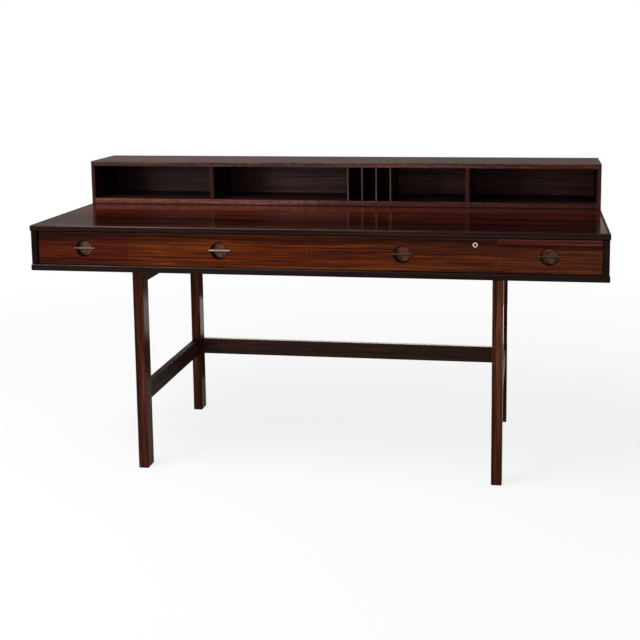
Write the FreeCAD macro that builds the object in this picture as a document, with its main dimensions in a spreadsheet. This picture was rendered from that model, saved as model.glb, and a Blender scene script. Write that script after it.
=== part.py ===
"""A flip top desk: a shallow case of drawers on a slim leg frame, with an organizer hinged to its rear.

Millimetres. +X runs to the right along the desk, +Y to the rear, +Z up. The origin is on the floor,
below the middle of the whole desk.
"""
import FreeCAD, Part
import Sketcher
import os
import re

doc = FreeCAD.newDocument("FlipTopDesk")

# Driving dimensions: name, value, meaning
SIZES = [
    # Desktop and case
    ("desk_width", 1610, "width of the desktop, the case bottom and the organizer"),
    ("desk_depth", 690, "depth of the desktop"),
    ("desk_height", 722, "floor to desktop"),
    ("desktop_thickness", 17, "desktop panel and its edging"),
    ("lipping_width", 9, "solid edging round the desktop panel"),
    ("case_height", 130, "desktop to the underside of the case"),
    ("bottom_thickness", 17, "case bottom"),
    ("side_thickness", 17, "case sides"),
    ("side_inset", 2, "case sides in from the ends of the desktop"),
    ("case_back_thickness", 9, "board that closes the rear of the case"),
    ("case_back_inset", 2, "case back in from the rear edge"),
    ("divider_thickness", 16, "uprights between the drawers"),
    ("outer_divider", 510, "middle of the desk to the middle of an outer upright"),
    ("arris", 2, "eased edges of the desktop and the case bottom"),
    # Drawers
    ("drawer_setback", 9, "drawer fronts behind the front edge of the case"),
    ("front_thickness", 18, "drawer fronts"),
    ("front_gap", 2, "gap round each drawer front"),
    ("divider_clearance", 1, "drawer front to the upright behind it"),
    ("drawer_length", 590, "front face to the end of the drawer sides"),
    ("drawer_side_thickness", 11, "sides of the drawer boxes"),
    ("drawer_side_height", 76, "sides of the drawer boxes"),
    ("drawer_side_clearance", 1, "drawer side to the upright beside it"),
    ("drawer_lift", 5, "drawer sides above the case bottom"),
    ("drawer_back_thickness", 10, "backs of the drawer boxes"),
    ("drawer_back_drop", 8, "top of the drawer back below the sides"),
    ("drawer_back_inset", 12, "drawer back in from the ends of the sides"),
    ("drawer_bottom_thickness", 5, "panels that the drawers' contents lie on"),
    ("bottom_rise", 7, "drawer bottom above the lower edges of the sides"),
    ("groove_depth", 5, "groove that holds the drawer bottom"),
    ("dado_depth", 4, "housing that holds the drawer back"),
    ("dovetail_length", 9, "sliding dovetail of a drawer side in its front"),
    ("dovetail_neck", 6, "width of the dovetail where it leaves the side"),
    ("dovetail_tip", 9, "width of the dovetail at its end"),
    ("runner_height", 14, "strips that the drawers slide on"),
    ("runner_reach", 6, "depth of the runner's groove in a drawer side"),
    ("runner_clearance", 0.3, "room round a runner in its groove"),
    ("runner_length", 480, "strips that the drawers slide on"),
    ("runner_setback", 25, "runners behind the drawer fronts"),
    ("runner_rise", 36, "runner groove above the lower edge of a drawer side"),
    # Pulls
    ("cup_radius", 23, "outside of a pull's cup"),
    ("cup_depth", 14, "cup into the drawer front"),
    ("cup_wall", 1.2, "metal of the cup"),
    ("cup_dish", 3.5, "rounding from the cup's floor to its wall"),
    ("bar_length", 61, "grip bar across the cup"),
    ("bar_height", 5.6, "grip bar across the cup"),
    ("bar_thickness", 5.5, "grip bar, front to back"),
    ("bar_proud", 2.5, "bar in front of the drawer front"),
    ("bar_round", 1.8, "rounding of the grip bar's face"),
    # Lock of the third drawer
    ("lock_inset", 58, "lock axis to the end of the drawer front"),
    ("lock_drop", 17, "lock axis to the top of the drawer front"),
    ("lock_ring_radius", 7, "ring on the drawer front"),
    ("lock_ring_thickness", 1.5, "ring on the drawer front"),
    ("lock_body_radius", 6.5, "barrel of the lock"),
    ("lock_body_tail", 5, "lock body behind the drawer front"),
    ("lock_plug_radius", 4.6, "plug that the key turns"),
    ("lock_clearance", 0.05, "running clearance of the plug"),
    ("keyway_height", 6, "slot for the key"),
    ("keyway_width", 1.6, "slot for the key"),
    ("keyway_depth", 9, "slot for the key"),
    ("cam_thickness", 2, "tongue that the plug turns"),
    ("cam_width", 9, "tongue that the plug turns"),
    ("cam_round", 3, "rounded corners of the cam"),
    ("cam_hub_radius", 3, "tail of the plug that carries the cam"),
    ("cam_engagement", 5, "reach of the turned cam into the desktop"),
    ("strike_thickness", 1.5, "plate that the cam turns into"),
    ("strike_length", 46, "plate that the cam turns into"),
    ("strike_width", 16, "plate that the cam turns into"),
    ("strike_play", 2, "room round the cam in its slot"),
    # Leg frame
    ("leg_width", 30, "legs, along the desk"),
    ("leg_depth", 50, "legs, front to rear"),
    ("leg_round", 3, "eased corners of the legs"),
    ("leg_shift", 1, "middle of a leg beyond the middle of an outer upright"),
    ("leg_front_inset", 54, "front legs behind the front edge"),
    ("leg_rear_inset", 29, "rear legs in from the rear edge"),
    ("stretcher_rise", 194, "floor to the stretchers"),
    ("stretcher_height", 52, "bars low between the legs"),
    ("stretcher_thickness", 20, "bars low between the legs"),
    ("rail_height", 44, "bars under the case between front and rear legs"),
    ("rail_thickness", 24, "bars under the case between front and rear legs"),
    ("frame_round", 2, "eased edges of stretchers and rails"),
    ("tenon_length", 18, "tenons into the legs"),
    ("tenon_thickness", 9, "tenons into the legs"),
    ("tenon_shoulder", 7, "tenon in from the upper and lower edge"),
    ("frame_screw_radius", 2.2, "screws that hold the case on the rails"),
    ("frame_screw_head_radius", 4.5, "screws that hold the case on the rails"),
    ("frame_screw_head_height", 3, "height of a frame screw's head"),
    ("frame_screw_bite", 12, "depth in the case bottom"),
    ("frame_screw_sink", 16, "depth of the head in the rail"),
    ("frame_screw_spacing", 190, "one frame screw to the next along its rail"),
    ("frame_screw_clearance", 0.4, "room round the head in its counterbore"),
    ("screw_slot_width", 0.9, "slot of a screw's head"),
    ("screw_slot_depth", 0.8, "slot of a screw's head"),
    # Organizer
    ("organizer_height", 136, "outside of the organizer"),
    ("organizer_depth", 215, "outside of the organizer"),
    ("organizer_top_thickness", 14.5, "top board"),
    ("organizer_bottom_thickness", 16, "bottom board, which becomes the desktop's extension"),
    ("organizer_side_thickness", 12, "side boards"),
    ("organizer_back_thickness", 8, "back board"),
    ("organizer_round", 3.5, "eased outer edges of the organizer"),
    ("organizer_divider_thickness", 12, "thick dividers"),
    ("organizer_divider_offset", 404, "middle of the desk to the middle of a thick divider"),
    ("partition_thickness", 4, "thin letter partitions"),
    ("partition_start", 33, "middle of the desk to the first partition"),
    ("partition_spacing", 44.3, "one letter partition to the next"),
    ("partition_setback", 3, "letter partitions behind the front of the organizer"),
    ("seam_gap", 0.3, "organizer above the desktop"),
    # Hinges
    ("hinge_inset", 153, "inside of an organizer side to the middle of the hinge near it"),
    ("hinge_length", 60, "leaves and barrel of a hinge"),
    ("hinge_offset", 0.5, "hinge axis behind the rear edge"),
    ("barrel_radius", 3.5, "barrel of a hinge"),
    ("barrel_clearance", 0.4, "room round the barrel"),
    ("knuckle_gap", 0.2, "room between two knuckles"),
    ("leaf_thickness", 1.5, "leaves of a hinge"),
    ("leaf_height", 13.5, "hinge axis to the edge of a leaf"),
    ("pin_radius", 1.6, "hinge pins"),
    ("pin_clearance", 0.05, "running clearance of a pin"),
    ("pin_head_radius", 2.6, "ends of a pin"),
    ("pin_head_length", 1.5, "length of a pin's head"),
    ("hinge_screw_radius", 1.6, "screws of the hinges"),
    ("hinge_screw_head_radius", 3.1, "screws of the hinges"),
    ("hinge_screw_length", 14, "screws of the hinges"),
    ("hinge_screw_spacing", 20, "one hinge screw to the next"),
]
DRAWER_NAMES = ("drawer_1", "drawer_2", "drawer_3", "drawer_4")
LOCKED_DRAWER = "drawer_3"
KNUCKLES = 5
DESK_KNUCKLES = (0, 2, 4)
ORGANIZER_KNUCKLES = (1, 3)
PARTITIONS = 4
NEAR = 0.01  # lengths this close count as equal

sheet = doc.addObject("Spreadsheet::Sheet", "Dim")
for row, (name, size, meaning) in enumerate(SIZES, start=1):
    sheet.set(f"A{row}", meaning)
    sheet.set(f"B{row}", str(size))
    sheet.setAlias(f"B{row}", name)
doc.recompute()
NAMES = {name for name, size, meaning in SIZES}

# Places that several pieces share, as formulas of the driving dimensions
HALF = "(desk_width / 2)"
FRONT = "(-(desk_depth + hinge_offset + barrel_radius) / 2)"
REAR = f"({FRONT} + desk_depth)"
UNDER_TOP = "(desk_height - desktop_thickness)"
CASE_UNDER = "(desk_height - case_height)"
CASE_FLOOR = f"({CASE_UNDER} + bottom_thickness)"
CASE_INNER = "(desk_width / 2 - side_inset - side_thickness)"
BACK_INNER = f"({REAR} - case_back_inset - case_back_thickness)"
FACE = f"({FRONT} + drawer_setback)"
FACE_REAR = f"({FACE} + front_thickness)"
FACE_LOW = f"({CASE_FLOOR} + front_gap)"
FACE_HIGH = f"({UNDER_TOP} - front_gap)"
FACE_MIDDLE = f"(({FACE_LOW} + {FACE_HIGH}) / 2)"
BOX_LOW = f"({CASE_FLOOR} + drawer_lift)"
BOX_HIGH = f"({BOX_LOW} + drawer_side_height)"
BOX_REAR = f"({FACE} + drawer_length)"
PANEL_LOW = f"({BOX_LOW} + bottom_rise)"
PANEL_HIGH = f"({PANEL_LOW} + drawer_bottom_thickness)"
GROOVE_LOW = f"({BOX_LOW} + runner_rise)"
GROOVE_HIGH = f"({GROOVE_LOW} + runner_height + 2 * runner_clearance)"
RUNNER_FRONT = f"({FACE_REAR} + runner_setback)"
AXIS_Y = f"({REAR} + hinge_offset)"
AXIS_Z = "(desk_height + seam_gap / 2)"
ORGANIZER_LOW = "(desk_height + seam_gap)"
ORGANIZER_FLOOR = f"({ORGANIZER_LOW} + organizer_bottom_thickness)"
ORGANIZER_HIGH = f"({ORGANIZER_LOW} + organizer_height)"
ORGANIZER_CEILING = f"({ORGANIZER_HIGH} - organizer_top_thickness)"
ORGANIZER_FRONT = f"({REAR} - organizer_depth)"
ORGANIZER_INNER = f"({HALF} - organizer_side_thickness)"
ORGANIZER_BACK = f"({REAR} - organizer_back_thickness)"
HINGE_X = f"({ORGANIZER_INNER} - hinge_inset)"
LEG_X = "(outer_divider + leg_shift)"
LEG_FRONT = f"({FRONT} + leg_front_inset)"
LEG_REAR = f"({REAR} - leg_rear_inset - leg_depth)"
LEG_REAR_MIDDLE = f"({LEG_REAR} + leg_depth / 2)"
LOCK_X = "(outer_divider - front_gap / 2 - lock_inset)"
LOCK_Z = f"({FACE_HIGH} - lock_drop)"
CAM_FRONT = f"({FACE_REAR} + lock_body_tail)"
CAM_REACH = "(lock_drop + front_gap + cam_engagement)"
CAM_MIDDLE = f"({CAM_FRONT} + cam_thickness / 2)"
CAM_SWING = f"sqrt({CAM_REACH}^2 + (cam_width / 2)^2 - (lock_drop + front_gap)^2)"
KNUCKLE_ROOM = "(barrel_radius + barrel_clearance)"

ALONG_X = FreeCAD.Rotation(FreeCAD.Vector(0, 1, 0), 90)
ALONG_MINUS_Y = FreeCAD.Rotation(FreeCAD.Vector(1, 0, 0), 90)
UPRIGHT = FreeCAD.Rotation()

nodes = []


def formula(text):
    """Turns each size name in a formula into a reference to its cell."""
    return re.sub(r"[a-z]\w*", lambda word: f"Dim.{word[0]}" if word[0] in NAMES else word[0], text)


def bind(thing, prop, text):
    thing.setExpression(prop, formula(text))


def place(thing, spot, turn=UPRIGHT):
    thing.Placement = FreeCAD.Placement(FreeCAD.Vector(), turn)
    for axis, text in zip("xyz", spot):
        bind(thing, f"Placement.Base.{axis}", text)


def node(thing, label):
    """Marks an object as a finished sub-part."""
    thing.Label = label
    nodes.append(thing)
    return thing


def box(label, low, high):
    """A board between two corners."""
    board = doc.addObject("Part::Box", label)
    for prop, start, end in zip(("Length", "Width", "Height"), low, high):
        bind(board, prop, f"({end}) - ({start})")
    place(board, low)
    return board


def rod(label, radius, length, spot, turn):
    """A round bar that starts at a spot."""
    bar = doc.addObject("Part::Cylinder", label)
    bind(bar, "Radius", radius)
    bind(bar, "Height", length)
    place(bar, spot, turn)
    return bar


def fuse(label, shapes):
    whole = doc.addObject("Part::MultiFuse", label)
    whole.Shapes = shapes
    return whole


def group(label, shapes):
    """Separate solids kept together."""
    whole = doc.addObject("Part::Compound", label)
    whole.Links = shapes
    return whole


def cut(label, base, tools):
    """A piece with the shapes of its neighbours taken out of it."""
    result = doc.addObject("Part::Cut", label)
    result.Base = base
    result.Tool = tools[0] if len(tools) == 1 else fuse(f"{label}_tools", tools)
    return result


def body(label, spot=("0", "0", "0")):
    part = doc.addObject("PartDesign::Body", label)
    place(part, spot)
    return part


def origin_feature(part, role):
    return next(feature for feature in part.Origin.OriginFeatures if feature.Role == role)


def sketch(part, plane, name, offset="0"):
    drawing = part.newObject("Sketcher::SketchObject", f"{part.Name}_{name}")
    drawing.AttachmentSupport = [(origin_feature(part, plane), "")]
    drawing.MapMode = "FlatFace"
    bind(drawing, "AttachmentOffset.Base.z", offset)
    return drawing


def pin_point(drawing, geometry, point, spot):
    """Fixes a sketch point at two formulas."""
    for kind, text in zip(("DistanceX", "DistanceY"), spot):
        index = drawing.addConstraint(Sketcher.Constraint(kind, geometry, point, 1.0))
        bind(drawing, f"Constraints[{index}]", text)


def outline(drawing, corners):
    """A closed outline of straight edges, drawn roughly and then fixed at corners given as formulas."""
    count = len(corners)
    first = drawing.GeometryCount
    for i in range(count):
        ends = (FreeCAD.Vector(i, i * i, 0), FreeCAD.Vector(i + 1, (i + 1) ** 2, 0))
        drawing.addGeometry(Part.LineSegment(*ends), False)
    for i, corner in enumerate(corners):
        after = first + (i + 1) % count
        drawing.addConstraint(Sketcher.Constraint("Coincident", first + i, 2, after, 1))
        pin_point(drawing, first + i, 1, corner)


def circle(drawing, middle, radius):
    geometry = drawing.addGeometry(Part.Circle(FreeCAD.Vector(), FreeCAD.Vector(0, 0, 1), 1), False)
    pin_point(drawing, geometry, 3, middle)
    index = drawing.addConstraint(Sketcher.Constraint("Radius", geometry, 1.0))
    bind(drawing, f"Constraints[{index}]", radius)


def pad(part, drawing, length, flip=False, kind="Pad"):
    feature = part.newObject(f"PartDesign::{kind}", f"{drawing.Name}_{kind.lower()}")
    feature.Profile = drawing
    feature.Reversed = flip
    bind(feature, "Length", length)
    return feature


def revolve(part, drawing):
    """Turns a profile about the Y axis of its body."""
    feature = part.newObject("PartDesign::Revolution", f"{drawing.Name}_turned")
    feature.Profile = drawing
    feature.ReferenceAxis = (origin_feature(part, "Y_Axis"), [""])
    feature.Angle = 360
    return feature


def ease(part, feature, radius, wanted, kind="Fillet"):
    """Rounds or bevels the wanted edges of a feature."""
    doc.recompute()
    whole = feature.Shape.BoundBox
    edges = enumerate(feature.Shape.Edges, start=1)
    names = [f"Edge{i}" for i, edge in edges if wanted(edge.BoundBox, whole)]
    eased = part.newObject(f"PartDesign::{kind}", f"{part.Name}_eased")
    eased.Base = (feature, names)
    bind(eased, "Radius" if kind == "Fillet" else "Size", radius)
    return eased


def runs_along(axis):
    """Picks the edges that lie along one axis."""
    def chosen(edge, whole):
        lengths = {"x": edge.XLength, "y": edge.YLength, "z": edge.ZLength}
        return lengths[axis] > edge.DiagonalLength - NEAR
    return chosen


def is_full_length(edge, whole):
    """Picks the edges as long as the whole board."""
    return edge.DiagonalLength > max(whole.XLength, whole.YLength, whole.ZLength) - NEAR


def is_inner_circle(edge, whole):
    """Picks the circles of a turned piece that lie between its two ends."""
    flat = edge.YLength < NEAR and edge.XLength > NEAR and edge.ZLength > NEAR
    return flat and whole.YMin + NEAR < edge.YMin < whole.YMax - NEAR


def is_level(edge, whole):
    return edge.ZLength < NEAR


def rectangle(low, high):
    return [(low[0], low[1]), (high[0], low[1]), (high[0], high[1]), (low[0], high[1])]


def faces(middle, thickness):
    """The two faces of a board of some thickness about its middle."""
    return f"({middle} - {thickness} / 2)", f"({middle} + {thickness} / 2)"


# Desktop

def lipping(label, corners):
    """One mitred strip of the desktop's solid edging, its top and bottom outer arrises eased."""
    strip = body(label, ("0", "0", UNDER_TOP))
    plan = sketch(strip, "XY_Plane", "plan")
    outline(plan, corners)
    solid = pad(strip, plan, "desktop_thickness")
    ease(strip, solid, "arris", is_full_length, "Chamfer")
    return strip


def desktop():
    inner = f"({HALF} - lipping_width)"
    inner_front = f"({FRONT} + lipping_width)"
    inner_rear = f"({REAR} - lipping_width)"
    outside = rectangle((f"-{HALF}", FRONT), (HALF, REAR))
    inside = rectangle((f"-{inner}", inner_front), (inner, inner_rear))
    strips = {}
    for i, side in enumerate(("front", "right", "rear", "left")):
        after = (i + 1) % len(outside)
        corners = [outside[i], outside[after], inside[after], inside[i]]
        strips[side] = lipping(f"{side}_lipping", corners)
    low = (f"-{inner}", inner_front, UNDER_TOP)
    high = (inner, inner_rear, "desk_height")
    return strips, box("desktop_core", low, high)


# Case

def case():
    slab = body("case_bottom_board", ("0", "0", CASE_UNDER))
    plan = sketch(slab, "XY_Plane", "plan")
    outline(plan, rectangle((f"-{HALF}", FRONT), (HALF, REAR)))
    solid = pad(slab, plan, "bottom_thickness")
    ease(slab, solid, "arris", is_level, "Chamfer")
    for side, start, end in (
        ("left", f"-{CASE_INNER} - side_thickness", f"-{CASE_INNER}"),
        ("right", CASE_INNER, f"{CASE_INNER} + side_thickness"),
    ):
        label = f"case_{side}_side"
        node(box(label, (start, f"{FRONT} + arris", CASE_FLOOR), (end, REAR, UNDER_TOP)), label)
    low = (f"-{CASE_INNER}", BACK_INNER, CASE_FLOOR)
    high = (CASE_INNER, f"{BACK_INNER} + case_back_thickness", UNDER_TOP)
    node(box("case_back", low, high), "case_back")
    uprights = []
    for name, middle in (("left", "-outer_divider"), ("middle", "0"), ("right", "outer_divider")):
        left, right = faces(middle, "divider_thickness")
        low = (left, f"{FACE_REAR} + divider_clearance", CASE_FLOOR)
        uprights.append(box(f"{name}_divider", low, (right, BACK_INNER, UNDER_TOP)))
    node(group("case_dividers", uprights), "case_dividers")
    return slab


# Drawers: the face of each front, and the space between the uprights for its box

DRAWERS = {
    "drawer_1": {
        "face": (f"(-{CASE_INNER} + front_gap)", "(-outer_divider - front_gap / 2)"),
        "space": (f"(-{CASE_INNER})", "(-outer_divider - divider_thickness / 2)"),
    },
    "drawer_2": {
        "face": ("(-outer_divider + front_gap / 2)", "(-front_gap / 2)"),
        "space": ("(-outer_divider + divider_thickness / 2)", "(-divider_thickness / 2)"),
    },
    "drawer_3": {
        "face": ("(front_gap / 2)", "(outer_divider - front_gap / 2)"),
        "space": ("(divider_thickness / 2)", "(outer_divider - divider_thickness / 2)"),
    },
    "drawer_4": {
        "face": ("(outer_divider + front_gap / 2)", f"({CASE_INNER} - front_gap)"),
        "space": ("(outer_divider + divider_thickness / 2)", f"({CASE_INNER})"),
    },
}


def drawer_side(label, outer, inward):
    """A drawer side with a dovetail at its front. outer is its outer face, inward points into the box."""
    side = body(label, (outer, "0", BOX_LOW))
    plan = sketch(side, "XY_Plane", "plan")
    middle = "drawer_side_thickness / 2"
    tip = f"{FACE_REAR} - dovetail_length"
    across = [
        ("0", BOX_REAR),
        ("0", FACE_REAR),
        (f"{middle} - dovetail_neck / 2", FACE_REAR),
        (f"{middle} - dovetail_tip / 2", tip),
        (f"{middle} + dovetail_tip / 2", tip),
        (f"{middle} + dovetail_neck / 2", FACE_REAR),
        ("drawer_side_thickness", FACE_REAR),
        ("drawer_side_thickness", BOX_REAR),
    ]
    outline(plan, [(f"{inward} * ({x})", y) for x, y in across])
    pad(side, plan, "drawer_side_height")
    return side


def pull_bar(label, middle):
    """The grip bar: a flat-backed bar with a rounded face, its ends let into the drawer front."""
    bar = body(label, (f"{middle} - bar_length / 2", f"{FACE} - bar_proud", FACE_MIDDLE))
    end = sketch(bar, "YZ_Plane", "end")
    outline(end, rectangle(("0", "-bar_height / 2"), ("bar_thickness", "bar_height / 2")))
    solid = pad(bar, end, "bar_length")
    ease(bar, solid, "bar_round", lambda edge, whole: edge.YMax < whole.YMin + NEAR)
    return bar


def pull_cup(label, middle, bar):
    """The cup behind the bar: a thin turned shell with a dished floor, notched for the bar."""
    cup = body(f"{label}_turned", (middle, FACE, FACE_MIDDLE))
    half = sketch(cup, "XY_Plane", "half")
    outline(half, [
        ("0", "cup_depth"),
        ("cup_radius", "cup_depth"),
        ("cup_radius", "0"),
        ("cup_radius - cup_wall", "0"),
        ("cup_radius - cup_wall", "cup_depth - cup_wall"),
        ("0", "cup_depth - cup_wall"),
    ])
    shell = revolve(cup, half)
    ease(cup, shell, "cup_dish", is_inner_circle)
    return cut(label, cup, [bar])


def drawer(name):
    left, right = DRAWERS[name]["face"]
    space_left, space_right = DRAWERS[name]["space"]
    box_left = f"({space_left} + drawer_side_clearance)"
    box_right = f"({space_right} - drawer_side_clearance)"
    middle = f"(({left} + {right}) / 2)"

    # Panels of the box
    panel_left = f"{box_left} + drawer_side_thickness - groove_depth"
    panel_right = f"{box_right} - drawer_side_thickness + groove_depth"
    panel = box(f"{name}_panel", (panel_left, f"{FACE_REAR} - groove_depth", PANEL_LOW),
                (panel_right, f"{BOX_REAR} - drawer_back_inset", PANEL_HIGH))
    back_left = f"{box_left} + drawer_side_thickness - dado_depth"
    back_right = f"{box_right} - drawer_side_thickness + dado_depth"
    back = box(f"{name}_back_board",
               (back_left, f"{BOX_REAR} - drawer_back_inset - drawer_back_thickness", PANEL_HIGH),
               (back_right, f"{BOX_REAR} - drawer_back_inset", f"{BOX_HIGH} - drawer_back_drop"))
    node(panel, f"{name}_bottom")
    node(back, f"{name}_back")

    # Sides, housed for the panels and grooved for the runners
    sides = []
    for side, outer, inward in (("left", box_left, 1), ("right", box_right, -1)):
        blank = drawer_side(f"{name}_{side}_blank", outer, inward)
        faces = (outer, f"{outer} + {inward} * runner_reach")[::inward]
        groove = box(f"{name}_{side}_groove", (faces[0], f"{RUNNER_FRONT} - divider_clearance", GROOVE_LOW),
                     (faces[1], BOX_REAR, GROOVE_HIGH))
        sides.append(cut(f"{name}_{side}_side", blank, [groove, panel, back]))
    node(group(f"{name}_sides", sides), f"{name}_sides")

    # Pull and front
    bar = node(pull_bar(f"{name}_bar", middle), f"{name}_pull_bar")
    node(pull_cup(f"{name}_cup", middle, bar), f"{name}_pull_cup")
    board = box(f"{name}_board", (left, FACE, FACE_LOW), (right, FACE_REAR, FACE_HIGH))
    recess = rod(f"{name}_recess", "cup_radius", "cup_depth", (middle, f"{FACE} + cup_depth", FACE_MIDDLE),
                 ALONG_MINUS_Y)
    tools = [recess, bar, panel] + sides
    if name == LOCKED_DRAWER:
        bore_start = (LOCK_X, FACE_REAR, LOCK_Z)
        tools.append(rod("lock_bore", "lock_body_radius", "front_thickness", bore_start, ALONG_MINUS_Y))
    node(cut(f"{name}_front_cut", board, tools), f"{name}_front")

    # Runners on the uprights beside the box
    width = "(drawer_side_clearance + runner_reach - runner_clearance)"
    low_z, high_z = f"{GROOVE_LOW} + runner_clearance", f"{GROOVE_HIGH} - runner_clearance"
    runner_rear = f"{RUNNER_FRONT} + runner_length"
    runners = []
    for side, start, end in (
        ("left", space_left, f"{space_left} + {width}"),
        ("right", f"{space_right} - {width}", space_right),
    ):
        runners.append(box(f"{name}_{side}_runner", (start, RUNNER_FRONT, low_z), (end, runner_rear, high_z)))
    return runners


# Lock: a ring and barrel in the drawer front, a plug that turns in it, and a cam on the plug's tail

def is_cam_corner(edge, whole):
    at_end = edge.XMax < whole.XMin + NEAR or edge.XMin > whole.XMax - NEAR
    return at_end and runs_along("y")(edge, whole)


def lock():
    housing = body("lock_body", (LOCK_X, FACE, LOCK_Z))
    half = sketch(housing, "XY_Plane", "half")
    bore = "lock_plug_radius + lock_clearance"
    outline(half, [
        (bore, "-lock_ring_thickness"),
        ("lock_ring_radius", "-lock_ring_thickness"),
        ("lock_ring_radius", "0"),
        ("lock_body_radius", "0"),
        ("lock_body_radius", "front_thickness + lock_body_tail"),
        (bore, "front_thickness + lock_body_tail"),
    ])
    revolve(housing, half)
    node(housing, "lock_body")

    plug = body("lock_plug", (LOCK_X, FACE, LOCK_Z))
    half = sketch(plug, "XY_Plane", "half")
    shoulder = "front_thickness + lock_body_tail"
    tail = f"{shoulder} + cam_thickness"
    outline(half, [
        ("0", "-lock_ring_thickness"),
        ("lock_plug_radius", "-lock_ring_thickness"),
        ("lock_plug_radius", shoulder),
        ("cam_hub_radius", shoulder),
        ("cam_hub_radius", tail),
        ("0", tail),
    ])
    revolve(plug, half)
    slot = sketch(plug, "XZ_Plane", "keyway", "lock_ring_thickness")
    slot_corner = ("keyway_width / 2", "keyway_height / 2")
    outline(slot, rectangle([f"-{half_size}" for half_size in slot_corner], slot_corner))
    pad(plug, slot, "keyway_depth", kind="Pocket")
    node(plug, "lock_plug")

    cam = body("lock_cam", (LOCK_X, CAM_FRONT, LOCK_Z))
    plate = sketch(cam, "XZ_Plane", "plate")
    heel = "cam_width / 2 + cam_hub_radius"
    outline(plate, rectangle((f"-{CAM_REACH}", "-cam_width / 2"), (heel, "cam_width / 2")))
    circle(plate, ("0", "0"), "cam_hub_radius")
    solid = pad(cam, plate, "cam_thickness", flip=True)
    ease(cam, solid, "cam_round", is_cam_corner)
    node(cam, "lock_cam")

    # Strike plate under the desktop, with a slot that the cam turns up into
    slot_left = f"{LOCK_X} - {CAM_SWING} - strike_play"
    slot_right = f"{LOCK_X} + cam_width / 2 + strike_play"
    slot_front = f"{CAM_FRONT} - strike_play"
    slot_rear = f"{CAM_FRONT} + cam_thickness + strike_play"
    slot_top = f"{UNDER_TOP} + cam_engagement + strike_play"
    opening = box("strike_slot", (slot_left, slot_front, UNDER_TOP), (slot_right, slot_rear, slot_top))
    middle = f"(({slot_left} + {slot_right}) / 2)"
    left, right = faces(middle, "strike_length")
    front, rear = faces(CAM_MIDDLE, "strike_width")
    plate = box("strike_plate", (left, front, UNDER_TOP), (right, rear, f"{UNDER_TOP} + strike_thickness"))
    node(cut("lock_strike", plate, [opening]), "lock_strike")
    return [plate, opening]


# Leg frame

def bar_with_tenons(label, low, high, along):
    """A stretcher or rail with eased long edges and a tenon at each end."""
    bar = body(f"{label}_bar", low)
    size = [f"({end}) - ({start})" for start, end in zip(low, high)]
    plan = sketch(bar, "XY_Plane", "plan")
    outline(plan, rectangle(("0", "0"), (size[0], size[1])))
    solid = pad(bar, plan, size[2])
    ease(bar, solid, "frame_round", runs_along(along))
    inner_low, inner_high = list(low), list(high)
    length_axis = "xyz".index(along)
    width_axis = 1 - length_axis
    middle = f"(({low[width_axis]} + {high[width_axis]}) / 2)"
    inner_low[length_axis] = f"{low[length_axis]} - tenon_length"
    inner_high[length_axis] = f"{high[length_axis]} + tenon_length"
    inner_low[width_axis] = f"{middle} - tenon_thickness / 2"
    inner_high[width_axis] = f"{middle} + tenon_thickness / 2"
    inner_low[2] = f"{low[2]} + tenon_shoulder"
    inner_high[2] = f"{high[2]} - tenon_shoulder"
    tenon = box(f"{label}_tenon", inner_low, inner_high)
    return fuse(label, [bar, tenon]), tenon


def leg(label, middle, front):
    post = body(label, (middle, front, "0"))
    plan = sketch(post, "XY_Plane", "plan")
    outline(plan, rectangle(("-leg_width / 2", "0"), ("leg_width / 2", "leg_depth")))
    solid = pad(post, plan, CASE_UNDER)
    upright = runs_along("z")
    ease(post, solid, "leg_round", lambda edge, whole: upright(edge, whole) or edge.ZMax < whole.ZMin + NEAR)
    return post


def frame_screw(label, x, y):
    """A wood screw that goes up through a rail into the case bottom."""
    seat = f"({CASE_UNDER} - rail_height + frame_screw_sink)"
    head = rod(f"{label}_head", "frame_screw_head_radius", "frame_screw_head_height",
               (x, y, f"{seat} - frame_screw_head_height"), UPRIGHT)
    length = "rail_height - frame_screw_sink + frame_screw_bite"
    shank = rod(f"{label}_shank", "frame_screw_radius", length, (x, y, seat), UPRIGHT)
    mouth = (x, y, f"{CASE_UNDER} - rail_height")
    way_radius = "frame_screw_head_radius + frame_screw_clearance"
    way = rod(f"{label}_way", way_radius, "frame_screw_sink", mouth, UPRIGHT)
    hole = rod(f"{label}_hole", "frame_screw_radius", "rail_height", mouth, UPRIGHT)
    slot = box(f"{label}_slot",
               (f"{x} - frame_screw_head_radius", f"{y} - screw_slot_width / 2",
                f"{seat} - frame_screw_head_height - screw_slot_depth"),
               (f"{x} + frame_screw_head_radius", f"{y} + screw_slot_width / 2",
                f"{seat} - frame_screw_head_height + screw_slot_depth"))
    return cut(f"{label}_slotted", fuse(label, [head, shank]), [slot]), [way, hole]


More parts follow.
